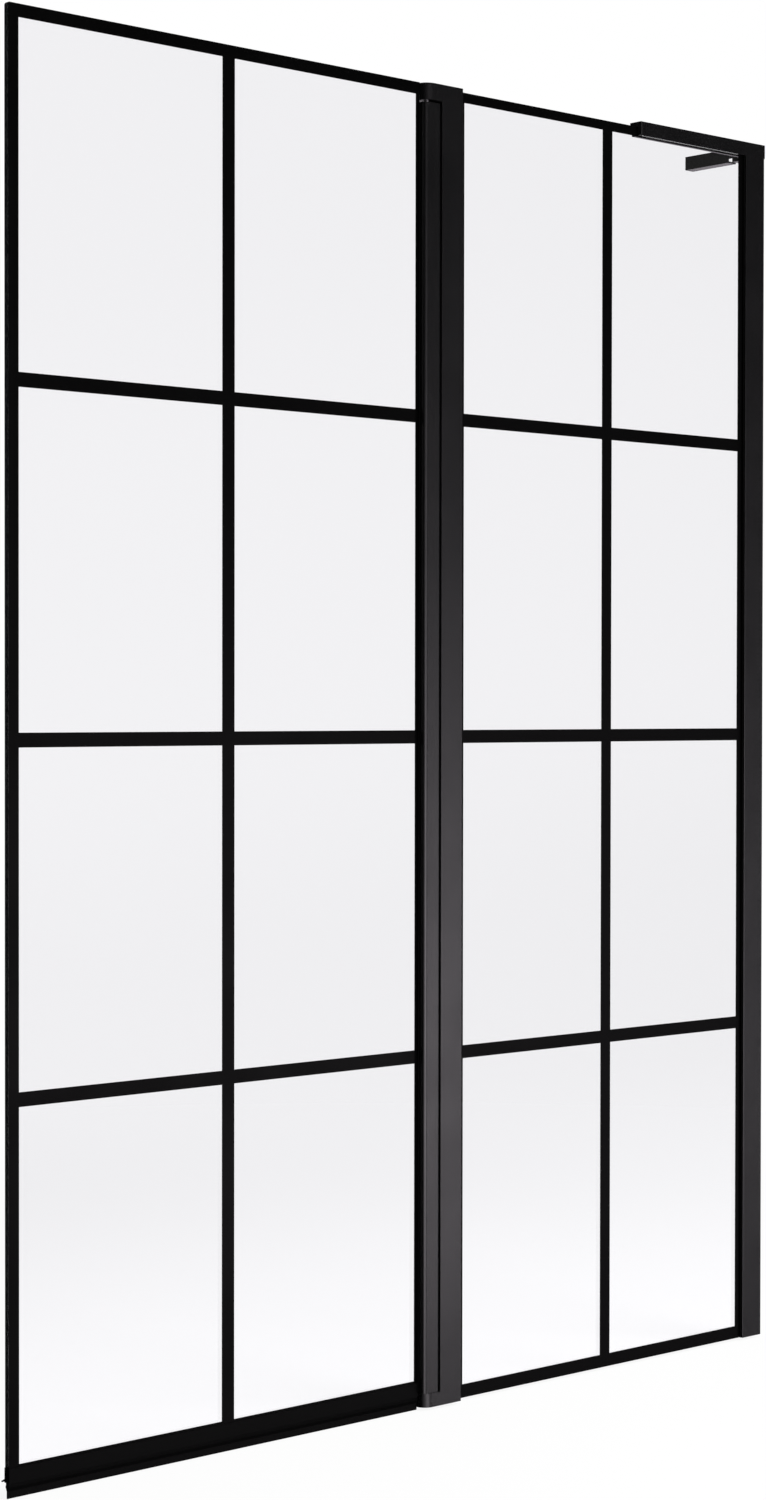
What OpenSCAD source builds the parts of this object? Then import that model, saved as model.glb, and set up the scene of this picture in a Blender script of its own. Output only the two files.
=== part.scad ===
// Two-panel bath screen: a fixed glass panel at the wall and a swinging glass door.
// The wall is the plane X = 0 and the screen runs towards -X.
// The glass is centred on Y = 0, and +Y is the bath side.
// Z = 0 is the level of the bath rim. Sizes are in millimetres.

/* [Panels] */
// Visible glass of the fixed panel, between wall profile and hinge post
fixed_w = 496; // [380:1:700]
// Visible glass of the door, from its profile to its free edge
door_w = 561.6; // [400:0.1:750]
// Height of the fixed glass above the bath rim
fixed_h = 1494; // [1200:1:1700]
// Height of the door glass top above the fixed glass top
door_over = 2; // [0:0.5:6]
// Height of the door glass bottom edge above the bath rim
door_low = 14; // [12:0.5:20]
// Thickness of both panes
glass_t = 6; // [5:1:8]
// Radius of the free corners of the panes
glass_corner_r = 2; // [1:0.5:6]

/* [Printed grid] */
// Rows of squares on each pane
grid_rows = 4; // [2:1:6]
// Columns of squares on each pane
grid_cols = 2; // [1:1:4]
// Height of the printed cross bars
bar_h = 15; // [8:0.5:30]
// Width of the printed uprights
bar_w = 17; // [8:0.5:30]
// Width of the printed edge at the door's free edge
free_edge_w = 12.9; // [8:0.1:30]
// Height of the printed edge along the bottom of the fixed pane
foot_edge_h = 15.5; // [8:0.5:30]
// Height of the printed edge along the top of the fixed pane
top_edge_h = 11.6; // [6:0.1:20]
// Height above the bath rim from which the rows are spaced
grid_low = 36.7; // [20:0.1:60]
// Height of the top of the door's bottom edge print above the bath rim
door_edge_top = 30.7; // [24:0.1:50]
// Print that shows beside the door profile
door_show = 5.6; // [1:0.1:15]
// Print that shows beside the hinge post
post_show = 11.3; // [1:0.1:15]
// Print that shows beside the wall profile
wall_show = 9.5; // [1:0.1:15]
// Thickness of the fired print
print_t = 0.15; // [0.1:0.05:0.3]

/* [Wall profile] */
// Width of the wall profile, from the wall to its mouth
wall_w = 34.5; // [30:0.5:45]
// Depth of the wall profile
wall_d = 16; // [16:0.5:24]
// Thickness of the wall profile's web, against the wall
wall_web_t = 2.5; // [2:0.1:3]
// Space between the web and the glass edge
wall_glass_gap = 11.5; // [8:0.5:14]
// Number of wall fixing holes
wall_holes = 3; // [2:1:5]
// Radius of the wall fixing holes
wall_hole_r = 2.5; // [2:0.1:3]
// Height of the lowest hole, and drop of the highest from the top
wall_hole_end = 102; // [60:1:200]
// Height of each glass packer
packer_h = 30; // [20:1:60]

/* [Hinge post] */
// Width of the fixed part of the post
post_w = 32.8; // [31:0.1:40]
// Depth of the post and of the door profile
post_d = 26; // [26:0.5:30]
// Slot between the fixed post and the door profile
post_slot = 3.4; // [3:0.1:5]
// Width of the turning door profile
door_profile_w = 22.9; // [22:0.1:26]
// Distance from the hinge axis to the slot
axis_in = 9; // [8.5:0.1:10]
// Radius of the door profile's corner away from the bath
corner_r = 5; // [3:0.5:6]
// Radius of the door profile's corner on the bath side
back_corner_r = 12.5; // [6:0.5:12.5]
// Radius of the small edges of the upright profiles
edge_r = 0.8; // [0.3:0.1:1]
// Height of the bottom cap
bottom_cap_h = 15.8; // [14:0.1:25]
// Height of the top cap
top_cap_h = 19; // [15:0.1:25]
// Height of the top cap's roof above the fixed glass
cap_roof = 1.5; // [1:0.1:4]
// Open gap between the top cap and the door profile
top_gap = 3; // [2:0.1:5]
// Depth of the glass slots in the post and its caps
post_slot_depth = 14.5; // [12:0.1:15]
// Clearance of the turning door profile in the post's pocket
pocket_gap = 0.4; // [0.3:0.1:0.8]
// Clearance of glass and seal past the caps as the door swings
swing_gap = 0.5; // [0.3:0.1:2]

/* [Pivots] */
// Radius of the pivot pins
pin_r = 3; // [2.5:0.1:3]
// Radial running clearance of a pin in its bush
pin_gap = 0.05; // [0.02:0.01:0.1]
// Outer radius of the bushes, and of the door profile's bore
bush_r = 4.5; // [4.3:0.1:4.6]
// Length of a bush
bush_h = 22; // [12:1:30]
// Depth of a pin in its cap
pin_seat = 12; // [8:0.5:13]
// Reach of a pin into its bush
pin_reach = 20; // [10:1:22]
// Radius of the bottom bush's flange
flange_r = 6.5; // [5.5:0.1:8]
// Thickness of the bottom bush's flange, which carries the door
flange_t = 0.8; // [0.6:0.1:2]
// Clearance under the flange
flange_gap = 0.05; // [0.02:0.01:0.1]

/* [Glazing] */
// Gap between the fixed pane and the profiles, filled by a gasket on each side
gasket_t = 2.8; // [2:0.1:2.8]
// Gap between the door pane and its profile, filled by a gasket on each side
door_gasket_t = 1.6; // [1.2:0.1:2.5]
// Depth of the gaskets of the fixed pane
gasket_depth = 9; // [6:0.5:11]
// Height of a gasket's bead above the mouth that it fills
bead_out = 0.8; // [0.2:0.1:1.2]
// Depth of the glass slot in the door profile
door_slot_depth = 7.4; // [6:0.1:7.4]
// Space between the slot's floor and the door glass
door_glass_gap = 0.6; // [0.3:0.1:1]
// Space between a slot's floor and the fixed glass
post_glass_gap = 1.5; // [0.5:0.1:3]

/* [Bottom seal] */
// Thickness of the seal's clip
seal_t = 1.2; // [0.8:0.1:2]
// Height of the clip's top above the bath rim
seal_top = 28; // [20:0.5:28]
// Reach of the blade below the bath rim, before it bends
blade_drop = 3; // [0:0.5:6]
// Thickness of the blade
blade_t = 1.7; // [1:0.1:3]
// Place of the blade's middle across the glass
blade_y = -0.5; // [-1:0.1:1]
// Width of the neck between clip and bead
neck_w = 4.2; // [3:0.1:5]
// Height of the neck
neck_h = 1.8; // [1:0.1:3]
// Width of the bead between neck and blade
bead_w = 6; // [5:0.1:7]
// Height of the bead
bead_h = 6.5; // [4:0.1:8]
// Reach of the drip lip past the clip
lip_reach = 5.5; // [3:0.5:9]
// Drop of the drip lip
lip_drop = 3; // [2:0.1:6]

/* [Brace] */
// Length of the rail over the fixed glass, from the wall
rail_len = 229; // [160:1:320]
// Depth of the rail
rail_d = 18; // [18:0.5:22]
// Height of the rail, spacer and leg
rail_h = 17; // [16:0.5:22]
// Thickness of the rail's sides and roof
rail_t = 3.5; // [2.5:0.1:3.5]
// Radius of the brace's edges
brace_edge_r = 0.3; // [0.2:0.1:1]
// Thickness of the rubber liner above the glass
liner_t = 2.5; // [2:0.1:3]
// Thickness of the clamp plate
clamp_plate_t = 1.5; // [1:0.1:2]
// Thickness of the end caps' plates
end_cap_t = 2.5; // [1.5:0.1:4]
// Width of spacer and leg, out from the wall
leg_w = 15; // [13:0.5:20]
// Reach of the leg along the wall, from the middle of the glass
leg_reach = 114; // [105:1:200]
// Thickness of the leg's sides
leg_t = 2; // [1.5:0.1:3]
// Length of the spacer behind the rail
spacer_len = 26; // [12:0.5:40]
// Gap between spacer and leg
leg_gap = 7; // [2:0.5:10]
// Clearance of the anchor and the plugs inside the leg
fit_gap = 0.2; // [0.1:0.05:0.4]

/* [Brace fixings] */
// Radius of the clamp screws
screw_r = 2.5; // [2:0.1:2.5]
// Clearance of the screws in their holes
screw_gap = 0.1; // [0.1:0.05:0.4]
// Distance of the outer clamp screw from the rail's free end
clamp_end = 49; // [30:1:70]
// Distance of the inner clamp screw from the wall
clamp_wall = 60; // [40:1:75]
// Spacing of the anchor's wall holes
anchor_pitch = 18; // [14:0.5:24]
// Radius of the anchor's wall holes
anchor_hole_r = 2.5; // [2:0.1:2.5]
// Thickness of the anchor's plate against the wall
anchor_t = 3; // [2:0.1:3]
// Radius of the joint screw
joint_screw_r = 2; // [1.5:0.1:2.5]
// Radius of the joint screw's head
joint_head_r = 4; // [3:0.1:4.2]
// Height of the joint screw's head
joint_head_h = 2.8; // [2:0.1:4]
// Radius of the leg's grub screw
grub_r = 2; // [1.5:0.1:2]

/* [Post fixings] */
// Radius of the cap screws
cap_screw_r = 1.8; // [1.5:0.1:2]
// Radius of the cap screws' heads
cap_head_r = 3.6; // [3:0.1:3.8]
// Distance of the cap screws from the middle of the post's depth
cap_screw_y = 8.2; // [7.8:0.1:8.4]
// Reach of the cap screws into the post
cap_screw_reach = 12; // [8:1:25]

/* [Hidden] */
$fn = 64;
// Overlap that lets a cut pass through a surface
through = 1;

// Places along X, from the wall to the door's free edge
wall_mouth_x = -wall_w;
post_right_x = wall_mouth_x - fixed_w;
post_left_x = post_right_x - post_w;
door_slot_x = post_left_x - post_slot;
axis_x = door_slot_x - axis_in;
door_face_x = door_slot_x - door_profile_w;
door_edge_x = door_face_x - door_w;
fixed_glass_right_x = -wall_web_t - wall_glass_gap;
post_slot_floor_x = post_right_x - post_slot_depth;
fixed_glass_left_x = post_slot_floor_x + post_glass_gap;
door_slot_floor_x = door_face_x + door_slot_depth;
door_glass_right_x = door_slot_floor_x - door_glass_gap;
rail_left_x = -rail_len;

// Heights
post_h = fixed_h + cap_roof;
cap_under_z = post_h - top_cap_h;
door_profile_top_z = cap_under_z - top_gap;
door_profile_low_z = bottom_cap_h + flange_gap + flange_t;
door_top_z = fixed_h + door_over;
rail_top_z = fixed_h + liner_t + rail_t;
rail_low_z = rail_top_z - rail_h;
grid_top_z = fixed_h - top_edge_h;
row_pitch = (grid_top_z - grid_low) / grid_rows;

// Half depths of slots and of what fills them, and of the print on the panes' front faces
half_glass = glass_t / 2;
print_y = half_glass + print_t;
slot_y = half_glass + gasket_t;
door_slot_y = half_glass + door_gasket_t;
rail_in_y = rail_d / 2 - rail_t;

// Circles about the hinge axis
corner_sweep_r = norm([door_profile_w - axis_in - corner_r, post_d / 2 - corner_r]) + corner_r;
pocket_r = max(corner_sweep_r, norm([axis_in, post_d / 2])) + pocket_gap;
cap_end_r = post_d / 2;
notch_x = axis_x - cap_end_r - swing_gap;
notch_z_gap = 0.5;

// Radius of the blade's rounded edges as a share of its thickness
tip_share = 0.4;

// Round side of the door profile, which closes the slot to straight views and stays in the pocket
nose_lap = 0.3;
nose_r = min(axis_in + post_slot + nose_lap, post_d / 2 - nose_lap);

// Depth of the bead's widest place below the neck, as a share of the bead's height
bead_share = 0.35;

// Clearance between the bottom seal and the door profile's gaskets
seal_end_gap = 0.2;

// Screw places in the post's web, and the post's chambers
cap_screw_inset = 7;
cap_screw_x = post_slot_floor_x - cap_screw_inset;
web_chamber = [9.5, 9];
side_chamber = [10, 2.4];
cap_screw_gap = 0.4;
cap_head_rim = 0.3;

// Hexagon sockets, as shares of the head's radius and height
socket_share = 0.55;
socket_depth_share = 0.7;

// Clamp under the rail
clamp_xs = [rail_left_x + clamp_end, -clamp_wall];
clamp_z = (rail_low_z + fixed_h) / 2;
clamp_plate_inset = 12;
clamp_plate_lift = 1;

// Inside the leg, where the anchor starts far enough in to leave the mouth open
joint_x = -leg_w / 2;
joint_z = (rail_low_z + rail_top_z) / 2;
leg_start_y = rail_d / 2 + spacer_len + leg_gap;
leg_end_y = leg_reach - end_cap_t;
plug_len = 4.5;
plug_gap = 1;
anchor_inset = 14;
anchor_start_y = leg_start_y + anchor_inset;
anchor_end_y = leg_end_y - plug_len - plug_gap;
anchor_post_t = 5;
anchor_block_t = 10;
anchor_mid_y = (anchor_start_y + anchor_post_t + anchor_end_y - anchor_block_t) / 2;
grub_y = anchor_end_y - anchor_block_t / 2;
grub_len = 8;

frame_black = [0.04, 0.04, 0.045];
rubber_black = [0.02, 0.02, 0.02];
glass_tint = [0.85, 0.93, 0.92, 0.35];
steel = [0.7, 0.7, 0.72];
nylon_black = [0.08, 0.08, 0.08];

// Rectangle from x0 to x1 and y0 to y1 with its own radius on each side
module rounded_rect(x0, x1, y0, y1, r_left, r_right)
    difference() {
        translate([x0, y0]) square([x1 - x0, y1 - y0]);
        corner_at(x0, y0, r_left, 1, 1);
        corner_at(x0, y1, r_left, 1, -1);
        corner_at(x1, y0, r_right, -1, 1);
        corner_at(x1, y1, r_right, -1, -1);
    }

// Cuts the corner at x, y round; sx and sy point from the corner into the shape
module corner_at(x, y, r, sx, sy)
    translate([x, y]) mirror([sx < 0 ? 1 : 0, 0]) mirror([0, sy < 0 ? 1 : 0]) difference() {
        translate([-through, -through]) square(r + through);
        translate([r, r]) circle(r);
    }

// Extrudes an outline drawn in X and Y from height z0 to z1
module upright(z0, z1) translate([0, 0, z0]) linear_extrude(z1 - z0) children();

// Extrudes an outline drawn in Y and Z from x0 to x1
module along_x(x0, x1) translate([x0, 0, 0]) rotate([90, 0, 90]) linear_extrude(x1 - x0) children();

// Extrudes an outline drawn in X and Z from y0 to y1
module along_y(y0, y1) translate([0, y1, 0]) rotate([90, 0, 0]) linear_extrude(y1 - y0) children();

// Slot for a pane, open towards dir, with its mouth at x
module pane_slot(x, depth, half, dir)
    translate([dir > 0 ? x - depth : x - through, -half]) square([depth + through, 2 * half]);

// Gasket strip between y0 and y1 with a round bead that stands out of the mouth x along dir
module gasket_section(x, depth, y0, y1, dir) {
    bead_r = (y1 - y0) / 2;
    bead_x = x + dir * (bead_out - bead_r);
    inner_x = x - dir * depth;
    translate([min(bead_x, inner_x), y0]) square([abs(bead_x - inner_x), y1 - y0]);
    translate([bead_x, (y0 + y1) / 2]) circle(bead_r);
}

// Wall profile
function wall_hole_z(i) =
    wall_hole_end + i * (rail_low_z - 2 * wall_hole_end) / (wall_holes - 1);

module wall_profile() color(frame_black) difference() {
    upright(0, rail_low_z) difference() {
        rounded_rect(wall_mouth_x, 0, -wall_d / 2, wall_d / 2, edge_r, edge_r / 2);
        translate([wall_mouth_x - through, -slot_y])
            square([wall_w - wall_web_t + through, 2 * slot_y]);
    }
    for (i = [0 : wall_holes - 1])
        translate([-wall_web_t - through, 0, wall_hole_z(i)]) rotate([0, 90, 0])
            cylinder(r = wall_hole_r, h = wall_web_t + 2 * through);
}

module wall_gasket_front() color(rubber_black) upright(0, rail_low_z)
    gasket_section(wall_mouth_x, gasket_depth, -slot_y, -print_y, -1);

module wall_gasket_back() color(rubber_black) upright(0, rail_low_z)
    gasket_section(wall_mouth_x, gasket_depth, half_glass, slot_y, -1);

module glass_packers() color(nylon_black) for (i = [0 : wall_holes - 2])
    translate([fixed_glass_right_x, -half_glass, (wall_hole_z(i) + wall_hole_z(i + 1) - packer_h) / 2])
        cube([wall_glass_gap, glass_t, packer_h]);

// Panes and their printed grids
module fixed_pane() translate([fixed_glass_left_x, 0])
    square([fixed_glass_right_x - fixed_glass_left_x, fixed_h]);

module fixed_glass() color(glass_tint) along_y(-half_glass, half_glass) fixed_pane();

// Squares between x0 and x1, with the lowest starting at z0
module grid_squares(x0, x1, z0) {
    col_w = (x1 - x0 - (grid_cols - 1) * bar_w) / grid_cols;
    for (c = [0 : grid_cols - 1], r = [0 : grid_rows - 1]) {
        low = r == 0 ? z0 : grid_low + r * row_pitch + bar_h / 2;
        high = r == grid_rows - 1 ? grid_top_z : grid_low + (r + 1) * row_pitch - bar_h / 2;
        translate([x0 + c * (col_w + bar_w), low]) square([col_w, high - low]);
    }
}

module fixed_grid() color(frame_black) along_y(-print_y, -half_glass) difference() {
    fixed_pane();
    grid_squares(post_right_x + post_show, wall_mouth_x - wall_show, foot_edge_h);
}

// Door pane, cut back at the hinge side to swing past the caps
module door_pane() difference() {
    rounded_rect(door_edge_x, door_glass_right_x, door_low, door_top_z, glass_corner_r, 0);
    notch_w = door_glass_right_x - notch_x + through;
    high_z = door_profile_top_z - notch_z_gap;
    low_z = door_profile_low_z + notch_z_gap;
    translate([notch_x, high_z]) square([notch_w, door_top_z - high_z + through]);
    translate([notch_x, door_low - through]) square([notch_w, low_z - door_low + through]);
}

module door_glass() color(glass_tint) along_y(-half_glass, half_glass) door_pane();

module door_grid() color(frame_black) along_y(-print_y, -half_glass) difference() {
    door_pane();
    grid_squares(door_edge_x + free_edge_w, door_face_x - door_show, door_edge_top);
}

// Hinge post, with a round pocket for the door profile and a slot for the fixed pane
module post_outline() difference() {
    rounded_rect(post_left_x, post_right_x, -post_d / 2, post_d / 2, edge_r / 2, edge_r);
    translate([axis_x, 0]) circle(pocket_r, $fn = 128);
    pane_slot(post_right_x, post_slot_depth, slot_y, 1);
    translate([cap_screw_x - web_chamber[0] / 2, -web_chamber[1] / 2]) square(web_chamber);
    for (s = [-1, 1])
        translate([post_right_x - post_slot_depth / 2 - side_chamber[0] / 2,
                   s * (slot_y + post_d / 2) / 2 - side_chamber[1] / 2]) square(side_chamber);
}

module cap_screw_places() for (s = [-1, 1]) translate([cap_screw_x, s * cap_screw_y, 0]) children();

module hinge_post() color(frame_black) difference() {
    upright(bottom_cap_h, cap_under_z) post_outline();
    cap_screw_places() translate([0, 0, bottom_cap_h - through])
        cylinder(r = cap_screw_r, h = cap_under_z - bottom_cap_h + 2 * through);
}

module post_gasket_front() color(rubber_black) upright(0, fixed_h)
    gasket_section(post_right_x, gasket_depth, -slot_y, -print_y, 1);

module post_gasket_back() color(rubber_black) upright(0, fixed_h)
    gasket_section(post_right_x, gasket_depth, half_glass, slot_y, 1);

// Caps, which span the door profile, the slot and the post, and end round about the hinge axis
module cap_outline() {
    translate([axis_x, 0]) circle(cap_end_r);
    difference() {
        translate([axis_x, -post_d / 2]) square([post_right_x - axis_x, post_d]);
        for (s = [-1, 1]) corner_at(post_right_x, s * post_d / 2, edge_r, -1, -s);
    }
}

// Countersunk shape with its head's face at z = 0 and its tip towards -z
module countersunk(head_r, r, len) rotate_extrude()
    polygon([[0, 0], [head_r, 0], [head_r, -cap_head_rim], [r, r - head_r - cap_head_rim],
             [r, -len], [0, -len]]);

module top_cap() color(frame_black) difference() {
    upright(cap_under_z, post_h) cap_outline();
    upright(cap_under_z - through, fixed_h + fit_gap)
        pane_slot(post_right_x, post_slot_depth, slot_y, 1);
    translate([axis_x, 0, cap_under_z - through]) cylinder(r = pin_r, h = pin_seat + through);
    translate([0, 0, post_h]) cap_screw_places()
        countersunk(cap_head_r + fit_gap, cap_screw_r + cap_screw_gap, top_cap_h + through);
}

module bottom_cap() color(frame_black) difference() {
    upright(0, bottom_cap_h) cap_outline();
    upright(-through, bottom_cap_h + through) pane_slot(post_right_x, post_slot_depth, slot_y, 1);
    translate([axis_x, 0, bottom_cap_h - pin_seat]) cylinder(r = pin_r, h = pin_seat + through);
    cap_screw_places() mirror([0, 0, 1])
        countersunk(cap_head_r + fit_gap, cap_screw_r + cap_screw_gap, bottom_cap_h + through);
}

module cap_screw(len) difference() {
    countersunk(cap_head_r, cap_screw_r, len);
    translate([0, 0, -cap_head_r * socket_share])
        cylinder(r = cap_head_r * socket_share, h = cap_head_r, $fn = 6);
}

module cap_screws() color(steel) {
    translate([0, 0, post_h]) cap_screw_places() cap_screw(top_cap_h + cap_screw_reach);
    cap_screw_places() mirror([0, 0, 1]) cap_screw(bottom_cap_h + cap_screw_reach);
}

// Pivots
module pivot_pin(z0, z1) {
    tip = pin_r / 4;
    translate([axis_x, 0, 0]) rotate_extrude() polygon([
        [0, z0], [pin_r - tip, z0], [pin_r, z0 + tip],
        [pin_r, z1 - tip], [pin_r - tip, z1], [0, z1]]);
}

module top_pivot_pin() color(steel)
    pivot_pin(door_profile_top_z - pin_reach, cap_under_z + pin_seat);

module bottom_pivot_pin() color(steel)
    pivot_pin(bottom_cap_h - pin_seat, door_profile_low_z + pin_reach);

module bush(z0, z1, flange) translate([axis_x, 0, 0]) difference() {
    union() {
        translate([0, 0, z0]) cylinder(r = bush_r, h = z1 - z0);
        if (flange) translate([0, 0, z0 - flange_t]) cylinder(r = flange_r, h = flange_t);
    }
    translate([0, 0, z0 - flange_t - through])
        cylinder(r = pin_r + pin_gap, h = z1 - z0 + flange_t + 2 * through);
}

module top_bush() color(nylon_black)
    bush(door_profile_top_z - bush_h, door_profile_top_z, false);

module bottom_bush() color(nylon_black)
    bush(door_profile_low_z, door_profile_low_z + bush_h, true);

// Door profile, with a slot for the pane, a bore on the hinge axis and a round side in the pocket
module door_profile_outline() difference() {
    union() {
        difference() {
            translate([door_face_x, -post_d / 2]) square([door_profile_w, post_d]);
            corner_at(door_face_x, -post_d / 2, corner_r, 1, 1);
            corner_at(door_face_x, post_d / 2, back_corner_r, 1, -1);
            for (s = [-1, 1]) corner_at(door_slot_x, s * post_d / 2, edge_r, -1, -s);
        }
        translate([axis_x, 0]) circle(nose_r);
    }
    pane_slot(door_face_x, door_slot_depth, door_slot_y, -1);
}

module door_profile() color(frame_black) difference() {
    upright(door_profile_low_z, door_profile_top_z) door_profile_outline();
    translate([axis_x, 0, door_profile_low_z - through])
        cylinder(r = bush_r, h = door_profile_top_z - door_profile_low_z + 2 * through);
}

module door_gasket_front() color(rubber_black) upright(door_profile_low_z, door_profile_top_z)
    gasket_section(door_face_x, door_slot_depth - door_glass_gap, -door_slot_y, -print_y, -1);

module door_gasket_back() color(rubber_black) upright(door_profile_low_z, door_profile_top_z)
    gasket_section(door_face_x, door_slot_depth - door_glass_gap, half_glass, door_slot_y, -1);

// Bottom seal: a clip on the glass with a drip lip on the bath side, and below it a neck, a bead
// and a blade
module seal_section() {
    clip_y = half_glass + seal_t;
    floor_z = door_low - seal_t;
    lip_z = door_low + seal_t;
    neck_z = floor_z - neck_h;
    belly_z = neck_z - bead_h * bead_share;
    blade_top_z = neck_z - bead_h;
    difference() {
        polygon([
            [-clip_y, floor_z], [-clip_y, seal_top], [-print_y, seal_top],
            [-print_y, door_low], [half_glass, door_low], [half_glass, seal_top],
            [clip_y, seal_top], [clip_y, lip_z + seal_t],
            [clip_y + lip_reach, lip_z - lip_drop + seal_t],
            [clip_y + lip_reach - seal_t / 2, lip_z - lip_drop], [clip_y, lip_z - seal_t],
            [clip_y, floor_z], [blade_y + neck_w / 2, floor_z], [blade_y + neck_w / 2, neck_z],
            [blade_y + bead_w / 2, belly_z], [blade_y + blade_t / 2, blade_top_z],
            [blade_y + blade_t / 2, -blade_drop], [blade_y - blade_t / 2, -blade_drop],
            [blade_y - blade_t / 2, blade_top_z], [blade_y - bead_w / 2, belly_z],
            [blade_y - neck_w / 2, neck_z], [blade_y - neck_w / 2, floor_z]]);
        for (s = [-1, 1])
            corner_at(blade_y + s * blade_t / 2, -blade_drop, blade_t * tip_share, -s, 1);
    }
}

// The seal reaches under the door profile, and beside it ends before the gaskets
module door_bottom_seal() color(rubber_black) difference() {
    along_x(door_edge_x, notch_x) seal_section();
    end_x = door_face_x - bead_out - seal_end_gap;
    low_z = door_profile_low_z - notch_z_gap;
    translate([end_x, -post_d / 2, low_z])
        cube([notch_x - end_x + through, post_d, seal_top - low_z + through]);
}

// Brace rail: an upturned channel that clamps the top of the fixed pane
module rail_outline() difference() {
    translate([-rail_d / 2, rail_low_z]) square([rail_d, rail_h]);
    for (s = [-1, 1]) {
        corner_at(s * rail_d / 2, rail_top_z, brace_edge_r, -s, -1);
        corner_at(s * rail_d / 2, rail_low_z, brace_edge_r, -s, 1);
    }
}

module brace_rail() color(frame_black) difference() {
    along_x(rail_left_x + end_cap_t, 0) difference() {
        rail_outline();
        translate([-rail_in_y, rail_low_z - through])
            square([2 * rail_in_y, rail_h - rail_t + through]);
    }
    for (x = clamp_xs) translate([x, rail_in_y - through, clamp_z]) rotate([-90, 0, 0])
        cylinder(r = screw_r, h = rail_t + 2 * through);
    translate([joint_x, rail_in_y - through, joint_z]) rotate([-90, 0, 0])
        cylinder(r = joint_screw_r, h = rail_t + 2 * through);
}

module brace_rail_liner() color(rubber_black)
    along_x(rail_left_x + end_cap_t, fixed_glass_right_x) difference() {
        translate([-rail_in_y, rail_low_z]) square([2 * rail_in_y, rail_h - rail_t]);
        translate([-print_y, rail_low_z - through])
            square([print_y + half_glass, fixed_h - rail_low_z + through]);
        translate([rail_in_y - clamp_plate_t, rail_low_z - through])
            square([clamp_plate_t + through, fixed_h - rail_low_z + through]);
    }

module brace_rail_end_cap() color(nylon_black)
    along_x(rail_left_x, rail_left_x + end_cap_t) difference() {
        rail_outline();
        translate([-print_y - fit_gap, rail_low_z - through])
            square([print_y + half_glass + 2 * fit_gap, fixed_h - rail_low_z + fit_gap + through]);
    }

module brace_clamp_plate() color(steel)
    translate([rail_left_x + clamp_plate_inset, rail_in_y - clamp_plate_t,
               rail_low_z + clamp_plate_lift])
        cube([rail_len + fixed_glass_right_x - 2 * clamp_plate_inset, clamp_plate_t,
              fixed_h - rail_low_z - clamp_plate_lift]);

// Headless screw along +Y with a hexagon socket in its outer end
module set_screw(r, len) rotate([-90, 0, 0]) difference() {
    cylinder(r = r, h = len);
    translate([0, 0, len * (1 - socket_depth_share)]) cylinder(r = r * socket_share, h = len, $fn = 6);
}

module brace_clamp_screws() color(steel) for (x = clamp_xs)
    translate([x, rail_in_y, clamp_z]) set_screw(screw_r, rail_t);

// Box of the brace's section from y0 to y1, drawn in from all sides by gap
module leg_box(y0, y1, gap)
    translate([-leg_w + gap, y0, rail_low_z + gap])
        cube([leg_w - gap, y1 - y0, rail_h - 2 * gap]);

module leg_outline() difference() {
    translate([-leg_w, rail_low_z]) square([leg_w, rail_h]);
    corner_at(-leg_w, rail_low_z, brace_edge_r, 1, 1);
    corner_at(-leg_w, rail_top_z, brace_edge_r, 1, -1);
}

module brace_spacer() color(frame_black) difference() {
    along_y(rail_d / 2, rail_d / 2 + spacer_len) leg_outline();
    translate([joint_x, rail_d / 2 - through, joint_z]) rotate([-90, 0, 0])
        cylinder(r = joint_screw_r + screw_gap, h = spacer_len + 2 * through);
}

module brace_joint_screw() color(steel)
    translate([joint_x, rail_in_y, joint_z]) rotate([-90, 0, 0]) difference() {
        shank = anchor_start_y + anchor_post_t - rail_in_y;
        union() {
            cylinder(r = joint_screw_r, h = shank);
            translate([0, 0, shank]) cylinder(r = joint_head_r, h = joint_head_h);
        }
        translate([0, 0, shank + joint_head_h * (1 - socket_depth_share)])
            cylinder(r = joint_head_r * socket_share, h = joint_head_h, $fn = 6);
    }

// Anchor: a plate on the wall with a post for the joint screw and a block for the grub screw
module brace_anchor() color(steel) difference() {
    inset = leg_t + fit_gap;
    intersection() {
        leg_box(anchor_start_y, anchor_end_y, inset);
        union() {
            translate([-anchor_t, anchor_start_y, rail_low_z])
                cube([anchor_t, anchor_end_y - anchor_start_y, rail_h]);
            leg_box(anchor_start_y, anchor_start_y + anchor_post_t, 0);
            leg_box(anchor_end_y - anchor_block_t, anchor_end_y, 0);
        }
    }
    translate([joint_x, anchor_start_y - through, joint_z]) rotate([-90, 0, 0])
        cylinder(r = joint_screw_r + screw_gap, h = anchor_post_t + 2 * through);
    for (s = [-1, 1])
        translate([-anchor_t - through, anchor_mid_y + s * anchor_pitch / 2, joint_z])
            rotate([0, 90, 0]) cylinder(r = anchor_hole_r, h = anchor_t + 2 * through);
    translate([joint_x, grub_y, rail_low_z]) cylinder(r = grub_r, h = grub_len);
}

module brace_leg() color(frame_black) difference() {
    along_y(leg_start_y, leg_end_y) leg_outline();
    translate([-leg_w + leg_t, leg_start_y - through, rail_low_z + leg_t])
        cube([leg_w, leg_end_y - leg_start_y + 2 * through, rail_h - 2 * leg_t]);
    translate([joint_x, grub_y, rail_low_z - through])
        cylinder(r = grub_r + screw_gap, h = leg_t + 2 * through);
}

module brace_leg_end_cap() color(nylon_black) {
    along_y(leg_end_y, leg_reach) leg_outline();
    leg_box(leg_end_y - plug_len, leg_end_y, leg_t + fit_gap);
}

module brace_leg_screw() color(steel)
    translate([joint_x, grub_y, rail_low_z + grub_len]) rotate([-90, 0, 0])
        set_screw(grub_r, grub_len);

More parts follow.
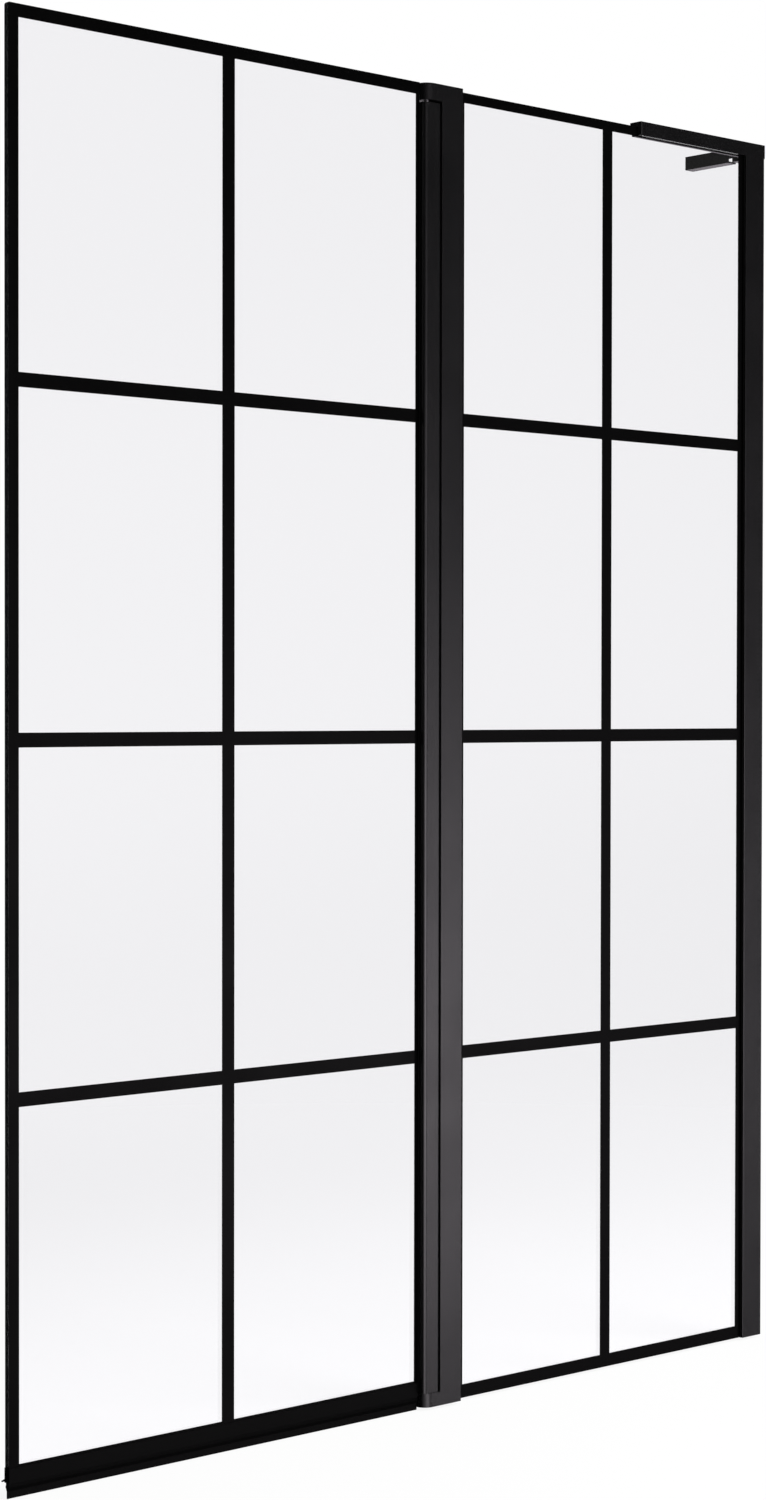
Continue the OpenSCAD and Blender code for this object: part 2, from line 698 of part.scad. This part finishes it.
wall_profile();
wall_gasket_front();
wall_gasket_back();
glass_packers();
fixed_glass();
fixed_grid();
hinge_post();
post_gasket_front();
post_gasket_back();
top_cap();
bottom_cap();
cap_screws();
top_pivot_pin();
bottom_pivot_pin();
door_profile();
top_bush();
bottom_bush();
door_gasket_front();
door_gasket_back();
door_glass();
door_grid();
door_bottom_seal();
brace_rail();
brace_rail_liner();
brace_rail_end_cap();
brace_clamp_plate();
brace_clamp_screws();
brace_spacer();
brace_joint_screw();
brace_anchor();
brace_leg();
brace_leg_end_cap();
brace_leg_screw();
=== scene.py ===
"""The looks of the two-panel bath screen: materials, ground glass panes, studio and camera.

Lengths are in metres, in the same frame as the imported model: the wall is the plane X = 0,
the glass is centred on Y = 0 with the bath on the +Y side, and Z = 0 is the bath rim.
"""

import math

import bmesh
import bpy
from mathutils import Matrix, Vector


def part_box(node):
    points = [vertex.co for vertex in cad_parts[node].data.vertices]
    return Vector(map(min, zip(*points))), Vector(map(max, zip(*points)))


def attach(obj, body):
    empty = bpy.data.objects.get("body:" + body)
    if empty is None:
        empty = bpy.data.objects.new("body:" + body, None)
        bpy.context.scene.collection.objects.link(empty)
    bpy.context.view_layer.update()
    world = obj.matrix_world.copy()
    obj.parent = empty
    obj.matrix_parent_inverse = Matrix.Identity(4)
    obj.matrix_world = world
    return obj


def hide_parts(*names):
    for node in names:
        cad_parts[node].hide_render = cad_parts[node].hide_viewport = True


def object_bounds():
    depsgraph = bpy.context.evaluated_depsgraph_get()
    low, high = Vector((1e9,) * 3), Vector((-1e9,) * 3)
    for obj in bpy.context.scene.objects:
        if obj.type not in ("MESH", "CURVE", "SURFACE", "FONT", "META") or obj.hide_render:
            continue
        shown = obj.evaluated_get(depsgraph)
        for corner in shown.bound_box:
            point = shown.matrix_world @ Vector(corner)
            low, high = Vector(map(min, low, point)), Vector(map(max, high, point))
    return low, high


# Camera of the photograph
IMAGE_H = 1500  # height of the picture in pixels
FOCAL_PX = 2948
SENSOR_H = 36  # millimetres
CLIP_START = 0.05
CAMERA_AT = (-2.8618, -2.4336, 0.7942)
CAMERA_YAW = math.radians(42.384)  # from +Y towards +X
CAMERA_PITCH = math.radians(0.8533)  # down
CAMERA_ROLL = math.radians(0.0763)

# Glass panes
ARRIS = 0.0005
ARRIS_STEPS = 2
CORNER_R = 0.002  # of the door's free corners
CORNER_STEPS = 8
NOTCH_GAP = 0.0005  # by which the door pane ends inside the ends of its profile
PRINT_BED = 0.00002  # by which the glass lies behind its print

# Floor
FLOOR_GAP = 0.001  # under the blade of the door's seal
FLOOR_HALF = 20
FLOOR_BOUNCE = 0.8  # grey that lights the object from below
FLOOR_LIGHT = 0.82  # level of a white floor under the lamp
SHADOW_WEIGHT = 0.12  # share of real light and shadow near the object
SHADOW_NEAR = 1.2
SHADOW_FAR = 2.6

# Lamp
LAMP_AT = (0.9, -3.4, 2.9)
LAMP_SIZE = (3.2, 2.4)
LAMP_POWER = 250
AIM_AT = (-0.575, 0, 0.7)

# Levels mirrored by satin surfaces at each turn and height in degrees, where white is 1
FRONT_BY_TURN = [(-110, 0.0), (-85, 0.9), (-55, 3.6), (-30, 1.5), (-10, 0.0), (-3, 4.0),
                 (3, 0.0), (10, 0.0), (20, 0.7), (70, 0.0)]
FRONT_BY_HEIGHT = [(-40, 0.02), (-13.5, 0.0), (-10, 0.94), (-6, 1.19), (-2, 0.57), (2, 0.08),
                   (7, 0.0)]
BACK_BY_TURN = [(45, 0.0), (75, 0.8), (135, 0.8), (158, 0.0)]
BACK_BY_HEIGHT = [(-60, 0.1), (-22, 0.5), (-6, 1.0), (8, 0.7), (40, 0.15)]
DARK_LEVEL = 0.002  # between and beyond the lit parts
SATIN_TINT = (1.02, 0.95, 1.02)

# Levels mirrored by the clear panes, which rise towards the wall
GLASS_BY_TURN = [(-140, 0.3), (-105, 1.0), (-25, 1.0), (-12, 1.75), (12, 1.75), (25, 1.0),
                 (110, 1.0), (150, 0.3)]
GLASS_BY_HEIGHT = [(-60, 0.5), (-20, 0.8), (-12.6, 0.82), (-7, 0.04), (-4.5, 0.02), (0, 0.15),
                   (5, 0.14), (9.5, 0.07), (60, 0.3)]
GLASS_TILT = 0.13  # degrees of height for each degree of turn

# Studio
MIRROR_DEG = -47.5  # way that the front faces mirror to the camera, from which turns count
DIFFUSE_LEVEL = 0.12
DEGREES = 180 / math.pi  # in a radian

# Range that most of a noise lies in
NOISE_LOW = 0.3
NOISE_HIGH = 0.7

# Material of each CAD node, apart from the panes, which are modelled again
NODES_OF = {
    "powder": ["wall_profile", "hinge_post", "top_cap", "bottom_cap", "door_profile",
               "brace_rail", "brace_spacer", "brace_leg"],
    "enamel": ["fixed_grid", "door_grid"],
    "rubber": ["wall_gasket_front", "wall_gasket_back", "post_gasket_front",
               "post_gasket_back", "door_gasket_front", "door_gasket_back",
               "brace_rail_liner"],
    "seal": ["door_bottom_seal"],
    "nylon": ["glass_packers", "top_bush", "bottom_bush", "brace_rail_end_cap",
              "brace_leg_end_cap"],
    "steel": ["cap_screws", "top_pivot_pin", "bottom_pivot_pin", "brace_clamp_plate",
              "brace_clamp_screws", "brace_joint_screw", "brace_anchor", "brace_leg_screw"],
}


def grey(level, blue=1.0):
    """Colour of one grey level, with its blue scaled."""
    return (level, level, level * blue, 1)


class Nodes:
    """Short calls that add and link the nodes of one material or world."""

    def __init__(self, owner):
        owner.use_nodes = True
        self.tree = owner.node_tree
        self.tree.nodes.clear()

    def add(self, kind, inputs=None, **settings):
        """A new node, with its inputs by name or number and its own settings."""
        node = self.tree.nodes.new(kind)
        for name, value in settings.items():
            setattr(node, name, value)
        for name, value in (inputs or {}).items():
            self.feed(node.inputs[name], value)
        return node

    def feed(self, socket, value):
        """Links another node's output to an input, or gives it a plain value."""
        if isinstance(value, bpy.types.NodeSocket):
            self.tree.links.new(value, socket)
        else:
            socket.default_value = value

    def math(self, operation, a, b=0.0):
        """Result of one math node."""
        return self.add("ShaderNodeMath", {0: a, 1: b}, operation=operation).outputs[0]

    def wrap(self, degrees):
        """The same angle between -180 and 180 degrees."""
        node = self.add("ShaderNodeMath", {0: degrees, 1: 180.0, 2: -180.0}, operation="WRAP")
        return node.outputs[0]

    def ramp(self, value, low, high, to_low=0.0, to_high=1.0):
        """Smooth step of value: to_low below low, and to_high above high."""
        return self.add("ShaderNodeMapRange", {"Value": value, "From Min": low, "From Max": high,
                                               "To Min": to_low, "To Max": to_high},
                        interpolation_type="SMOOTHSTEP").outputs[0]

    def spread(self, noise, to_low, to_high):
        """Level between to_low and to_high, from a noise."""
        return self.ramp(noise, NOISE_LOW, NOISE_HIGH, to_low, to_high)

    def curve(self, value, points):
        """Level that runs smoothly through points, each a place and the level there."""
        low, high = points[0][0], points[-1][0]
        peak = max(level for _, level in points)
        share = self.math("DIVIDE", self.math("SUBTRACT", value, low), high - low)
        node = self.add("ShaderNodeValToRGB", {0: share})
        node.color_ramp.interpolation = "EASE"
        stops = node.color_ramp.elements
        stops[0].color = grey(points[0][1] / peak)
        stops[-1].color = grey(points[-1][1] / peak)
        for place, level in points[1:-1]:
            stops.new((place - low) / (high - low)).color = grey(level / peak)
        return self.math("MULTIPLY", node.outputs[0], peak)

    def band(self, turn, height, by_turn, by_height):
        """Level of a band of light, from its levels by turn and by height."""
        return self.math("MULTIPLY", self.curve(turn, by_turn), self.curve(height, by_height))

    def mix(self, share, a, b):
        """Colour a where share is 0, and b where it is 1."""
        # 6, 7 and 2 are the sockets for colours
        return self.add("ShaderNodeMix", {0: share, 6: a, 7: b}, data_type="RGBA").outputs[2]

    def noise(self, scale, detail=2.0, roughness=0.5, stretch=(1, 1, 1)):
        """Noise in object space, with scale cells to a metre, times stretch along each axis."""
        where = self.add("ShaderNodeTexCoord").outputs["Object"]
        if stretch != (1, 1, 1):
            where = self.add("ShaderNodeMapping", {"Vector": where, "Scale": stretch}).outputs[0]
        return self.add("ShaderNodeTexNoise", {"Vector": where, "Scale": scale, "Detail": detail,
                                               "Roughness": roughness}).outputs[0]

    def bump(self, height, depth, strength, under=None):
        """Normal of a relief, over another relief if one is given."""
        node = self.add("ShaderNodeBump", {"Height": height, "Distance": depth,
                                           "Strength": strength})
        if under is not None:
            self.feed(node.inputs["Normal"], under)
        return node.outputs[0]


def new_material(name, **inputs):
    """A material with one Principled shader whose constant inputs are given, and its nodes."""
    material = bpy.data.materials.new(name)
    nodes = Nodes(material)
    shader = nodes.add("ShaderNodeBsdfPrincipled")
    out = nodes.add("ShaderNodeOutputMaterial")
    nodes.feed(out.inputs["Surface"], shader.outputs[0])
    for key, value in inputs.items():
        shader.inputs[key.replace("_", " ")].default_value = value
    return material, nodes, shader


def powder_coat():
    """Satin black powder coat: a fine orange peel and a slightly uneven gloss."""
    material, nodes, shader = new_material("powder_coat", IOR=1.5, Specular_IOR_Level=1.0)
    peel = nodes.noise(900, detail=3)
    grain = nodes.noise(3600, detail=2)
    tone = nodes.noise(14, detail=4)
    black = nodes.mix(tone, grey(0.0024, blue=1.05), grey(0.0036, blue=1.05))
    relief = nodes.bump(peel, depth=0.00003, strength=0.6)
    relief = nodes.bump(grain, depth=0.00001, strength=0.5, under=relief)
    nodes.feed(shader.inputs["Base Color"], black)
    nodes.feed(shader.inputs["Roughness"], nodes.spread(tone, 0.24, 0.27))
    nodes.feed(shader.inputs["Normal"], relief)
    return material


def printed_enamel():
    """Black ceramic print fired on the glass: dense, satin, with a faint screen grain."""
    material, nodes, shader = new_material("printed_enamel", IOR=1.45, Specular_IOR_Level=0.13)
    screen = nodes.noise(4200, detail=1)
    tone = nodes.noise(9, detail=3)
    black = nodes.mix(tone, grey(0.0006), grey(0.0011))
    relief = nodes.bump(screen, depth=0.000006, strength=0.4)
    nodes.feed(shader.inputs["Base Color"], black)
    nodes.feed(shader.inputs["Roughness"], nodes.spread(tone, 0.30, 0.36))
    nodes.feed(shader.inputs["Normal"], relief)
    return material


def glass_face():
    """Clear float glass, with the very slight roll wave of toughened panes."""
    material, nodes, shader = new_material(
        "safety_glass", Base_Color=(0.952, 0.948, 0.968, 1), IOR=1.52, Roughness=0.0,
        Transmission_Weight=1.0)
    wave = nodes.noise(5, detail=1, stretch=(1, 1, 0.35))
    relief = nodes.bump(wave, depth=0.00002, strength=0.3)
    nodes.feed(shader.inputs["Normal"], relief)
    return material


def glass_edge():
    """The ground and polished edge of a pane: greener, with fine grinding marks."""
    material, nodes, shader = new_material(
        "glass_edge", Base_Color=(0.42, 0.56, 0.49, 1), IOR=1.52, Transmission_Weight=1.0)
    marks = nodes.noise(2600, detail=3, stretch=(1, 1, 0.2))
    relief = nodes.bump(marks, depth=0.00001, strength=0.4)
    nodes.feed(shader.inputs["Roughness"], nodes.spread(marks, 0.10, 0.22))
    nodes.feed(shader.inputs["Normal"], relief)
    return material


def extruded_rubber(name, low_rough, high_rough):
    """Extruded black rubber: fine lines along the strip and a dull, uneven gloss."""
    material, nodes, shader = new_material(name, IOR=1.5, Specular_IOR_Level=0.12)
    lines = nodes.noise(1500, detail=2, stretch=(1, 1, 0.02))
    grain = nodes.noise(2800, detail=3)
    black = nodes.mix(grain, grey(0.0015), grey(0.003))
    relief = nodes.bump(lines, depth=0.00002, strength=0.5)
    relief = nodes.bump(grain, depth=0.00001, strength=0.5, under=relief)
    nodes.feed(shader.inputs["Base Color"], black)
    nodes.feed(shader.inputs["Roughness"], nodes.spread(grain, low_rough, high_rough))
    nodes.feed(shader.inputs["Normal"], relief)
    return material


def black_nylon():
    """Moulded black nylon with a fine spark-eroded texture."""
    material, nodes, shader = new_material("black_nylon", IOR=1.53, Specular_IOR_Level=0.4)
    cells = nodes.noise(2400, detail=4, roughness=0.65)
    black = nodes.mix(cells, grey(0.006), grey(0.011))
    relief = nodes.bump(cells, depth=0.00003, strength=0.6)
    nodes.feed(shader.inputs["Base Color"], black)
    nodes.feed(shader.inputs["Roughness"], nodes.spread(cells, 0.42, 0.56))
    nodes.feed(shader.inputs["Normal"], relief)
    return material


def stainless_steel():
    """Turned and brushed stainless steel."""
    material, nodes, shader = new_material("steel", Metallic=1.0)
    brushed = nodes.noise(1800, detail=3, stretch=(1, 1, 0.08))
    metal = nodes.mix(brushed, grey(0.50, blue=1.02), grey(0.62, blue=1.02))
    relief = nodes.bump(brushed, depth=0.00001, strength=0.5)
    nodes.feed(shader.inputs["Base Color"], metal)
    nodes.feed(shader.inputs["Roughness"], nodes.spread(brushed, 0.24, 0.38))
    nodes.feed(shader.inputs["Normal"], relief)
    return material


def give(obj, material):
    """Puts one material on every face of obj."""
    obj.data.materials.clear()
    obj.data.materials.append(material)


def corner_arc(x, z, start_deg):
    """A quarter circle of CORNER_R about x, z, from start_deg on, anticlockwise."""
    angles = [math.radians(start_deg + 90 * i / CORNER_STEPS) for i in range(CORNER_STEPS + 1)]
    return [(x + CORNER_R * math.cos(a), z + CORNER_R * math.sin(a)) for a in angles]


def fixed_outline():
    """The fixed pane, a plain rectangle in X and Z."""
    low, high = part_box("fixed_glass")
    return [(low.x, low.z), (high.x, low.z), (high.x, high.z), (low.x, high.z)]


def door_outline():
    """The door pane, cut back beside the post's caps, with two rounded free corners."""
    low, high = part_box("door_glass")
    profile_low, profile_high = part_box("door_profile")
    notch_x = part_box("door_bottom_seal")[1].x
    notch_low = profile_low.z + NOTCH_GAP
    notch_high = profile_high.z - NOTCH_GAP
    right = [(notch_x, low.z), (notch_x, notch_low), (high.x, notch_low),
             (high.x, notch_high), (notch_x, notch_high), (notch_x, high.z)]
    top_left = corner_arc(low.x + CORNER_R, high.z - CORNER_R, 90)
    bottom_left = corner_arc(low.x + CORNER_R, low.z + CORNER_R, 180)
    return right + top_left + bottom_left


def glass_pane(name, node, outline, body, face, edge):
    """A pane with ground edges in place of a CAD node, a hair behind its print."""
    low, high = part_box(node)
    mesh = bpy.data.meshes.new(name)
    bm = bmesh.new()
    front = [bm.verts.new((x, low.y + PRINT_BED, z)) for x, z in outline]
    back = [bm.verts.new((x, high.y, z)) for x, z in outline]
    faces = [bm.faces.new(front), bm.faces.new(back[::-1])]
    count = len(outline)
    for i in range(count):
        j = (i + 1) % count
        rim = bm.faces.new((front[i], back[i], back[j], front[j]))
        rim.material_index = 1
    rims = [e for f in faces for e in f.edges]
    bmesh.ops.bevel(bm, geom=rims, offset=ARRIS, segments=ARRIS_STEPS, profile=0.5,
                    affect="EDGES", material=1)
    bmesh.ops.recalc_face_normals(bm, faces=bm.faces)
    bm.to_mesh(mesh)
    bm.free()
    mesh.materials.append(face)
    mesh.materials.append(edge)
    pane = bpy.data.objects.new(name, mesh)
    bpy.context.scene.collection.objects.link(pane)
    pane.visible_shadow = False
    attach(pane, body)
    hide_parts(node)


def sees_backdrop(nodes):
    """1 for camera rays, straight or through glass, and 0 for reflected and diffuse ones."""
    path = nodes.add("ShaderNodeLightPath").outputs
    bounced = nodes.math("ADD", path["Glossy Depth"], path["Diffuse Depth"])
    straight = nodes.math("SUBTRACT", 1.0, nodes.math("MINIMUM", bounced, 1.0))
    through = nodes.math("MULTIPLY", path["Is Transmission Ray"], straight)
    return nodes.math("MAXIMUM", path["Is Camera Ray"], through)


def make_world():
    """White behind the object, and the studio that it mirrors.

    Satin surfaces mirror soft bands below eye level, in front and behind, and the panes a
    dim room that is bright at its foot. Turns are minus towards the door's side, and
    heights are from the horizon.
    """
    world = bpy.data.worlds.new("studio")
    bpy.context.scene.world = world
    nodes = Nodes(world)
    way = nodes.add("ShaderNodeTexCoord").outputs["Generated"]
    split = nodes.add("ShaderNodeSeparateXYZ", {0: way}).outputs
    height = nodes.math("MULTIPLY", nodes.math("ARCSINE", split[2]), DEGREES)
    around = nodes.math("MULTIPLY", nodes.math("ARCTAN2", split[1], split[0]), DEGREES)
    turn = nodes.wrap(nodes.math("SUBTRACT", around, MIRROR_DEG))

    front = nodes.band(turn, height, FRONT_BY_TURN, FRONT_BY_HEIGHT)
    back = nodes.band(turn, height, BACK_BY_TURN, BACK_BY_HEIGHT)
    shine = nodes.math("ADD", nodes.math("ADD", front, back), DARK_LEVEL)
    satin = nodes.add("ShaderNodeVectorMath", {0: SATIN_TINT, "Scale": shine},
                      operation="SCALE").outputs[0]
    tilted = nodes.math("SUBTRACT", height, nodes.math("MULTIPLY", turn, GLASS_TILT))
    glass = nodes.band(turn, tilted, GLASS_BY_TURN, GLASS_BY_HEIGHT)

    path = nodes.add("ShaderNodeLightPath").outputs
    colour = nodes.mix(path["Is Singular Ray"], satin, glass)
    colour = nodes.mix(path["Is Diffuse Ray"], colour, grey(DIFFUSE_LEVEL))
    colour = nodes.mix(sees_backdrop(nodes), colour, grey(1.0))
    surface = nodes.add("ShaderNodeBackground", {"Color": colour, "Strength": 1.0})
    out = nodes.add("ShaderNodeOutputWorld")
    nodes.feed(out.inputs["Surface"], surface.outputs[0])


def pale_floor():
    """Floor that looks white, with a faint shadow near its middle, and lights from below."""
    material = bpy.data.materials.new("pale_floor")
    nodes = Nodes(material)
    where = nodes.add("ShaderNodeTexCoord").outputs["Object"]
    away = nodes.add("ShaderNodeVectorMath", {0: where}, operation="LENGTH").outputs["Value"]
    near = nodes.ramp(away, SHADOW_NEAR, SHADOW_FAR, SHADOW_WEIGHT, 0.0)
    lit = nodes.add("ShaderNodeBsdfDiffuse", {"Color": near})
    glow = nodes.math("SUBTRACT", 1.0, nodes.math("MULTIPLY", near, FLOOR_LIGHT))
    white = nodes.add("ShaderNodeEmission", {"Color": grey(1.0), "Strength": glow})
    seen = nodes.add("ShaderNodeAddShader", {0: white.outputs[0], 1: lit.outputs[0]})
    pale = nodes.add("ShaderNodeBsdfDiffuse", {"Color": grey(FLOOR_BOUNCE)})
    clear = nodes.add("ShaderNodeBsdfTransparent")
    diffuse = nodes.add("ShaderNodeLightPath").outputs["Is Diffuse Ray"]
    unseen = nodes.add("ShaderNodeMixShader",
                       {0: diffuse, 1: clear.outputs[0], 2: pale.outputs[0]})
    both = nodes.add("ShaderNodeMixShader",
                     {0: sees_backdrop(nodes), 1: unseen.outputs[0], 2: seen.outputs[0]})
    out = nodes.add("ShaderNodeOutputMaterial")
    nodes.feed(out.inputs["Surface"], both.outputs[0])
    return material


def make_floor(z):
    """A wide floor at height z, which nothing mirrors."""
    mesh = bpy.data.meshes.new("floor")
    corners = [(-FLOOR_HALF, -FLOOR_HALF, 0), (FLOOR_HALF, -FLOOR_HALF, 0),
               (FLOOR_HALF, FLOOR_HALF, 0), (-FLOOR_HALF, FLOOR_HALF, 0)]
    mesh.from_pydata(corners, [], [(0, 1, 2, 3)])
    mesh.materials.append(pale_floor())
    floor = bpy.data.objects.new("floor", mesh)
    bpy.context.scene.collection.objects.link(floor)
    floor.location = (AIM_AT[0], AIM_AT[1], z)
    floor.visible_glossy = False


def aim(obj, at, target):
    """Places obj at a point, with its -Z axis towards target."""
    obj.location = at
    obj.rotation_euler = (Vector(target) - Vector(at)).to_track_quat("-Z", "Y").to_euler()


def make_lamp():
    """One large soft lamp over the front, which nothing mirrors."""
    data = bpy.data.lights.new("soft_light", "AREA")
    data.shape = "RECTANGLE"
    data.size, data.size_y = LAMP_SIZE
    data.energy = LAMP_POWER
    lamp = bpy.data.objects.new("soft_light", data)
    lamp.visible_glossy = False
    lamp.visible_transmission = False
    bpy.context.scene.collection.objects.link(lamp)
    aim(lamp, LAMP_AT, AIM_AT)


def make_camera():
    """The photograph's camera, from its place, angles and focal length in pixels."""
    data = bpy.data.cameras.new("camera")
    data.sensor_fit = "VERTICAL"
    data.sensor_height = SENSOR_H
    data.lens = FOCAL_PX / IMAGE_H * SENSOR_H
    data.clip_start = CLIP_START
    camera = bpy.data.objects.new("camera", data)
    bpy.context.scene.collection.objects.link(camera)
    ahead = Vector((math.sin(CAMERA_YAW) * math.cos(CAMERA_PITCH),
                    math.cos(CAMERA_YAW) * math.cos(CAMERA_PITCH), -math.sin(CAMERA_PITCH)))
    right = Vector((math.cos(CAMERA_YAW), -math.sin(CAMERA_YAW), 0))
    up = right.cross(ahead)
    right, up = (right * math.cos(CAMERA_ROLL) + up * math.sin(CAMERA_ROLL),
                 up * math.cos(CAMERA_ROLL) - right * math.sin(CAMERA_ROLL))
    turn = Matrix((right, up, -ahead)).transposed().to_4x4()
    camera.matrix_world = Matrix.Translation(CAMERA_AT) @ turn
    bpy.context.scene.camera = camera


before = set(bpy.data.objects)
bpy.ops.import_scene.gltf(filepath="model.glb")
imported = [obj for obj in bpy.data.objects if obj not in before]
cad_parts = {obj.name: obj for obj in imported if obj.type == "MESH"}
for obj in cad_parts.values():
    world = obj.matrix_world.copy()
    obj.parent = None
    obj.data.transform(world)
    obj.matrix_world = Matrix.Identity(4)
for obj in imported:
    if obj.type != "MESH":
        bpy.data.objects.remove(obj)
cad_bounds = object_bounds()

make_camera()
make_world()
make_floor(cad_bounds[0][2] - FLOOR_GAP)
make_lamp()

materials = {
    "powder": powder_coat(),
    "enamel": printed_enamel(),
    "rubber": extruded_rubber("gasket_rubber", 0.55, 0.67),
    "seal": extruded_rubber("seal_rubber", 0.42, 0.54),
    "nylon": black_nylon(),
    "steel": stainless_steel(),
}
for kind, names in NODES_OF.items():
    for name in names:
        give(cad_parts[name], materials[kind])

face, edge = glass_face(), glass_edge()
glass_pane("fixed_pane", "fixed_glass", fixed_outline(), "fixed_side", face, edge)
glass_pane("door_pane", "door_glass", door_outline(), "door", face, edge)

bpy.context.scene.view_settings.view_transform = "Standard"
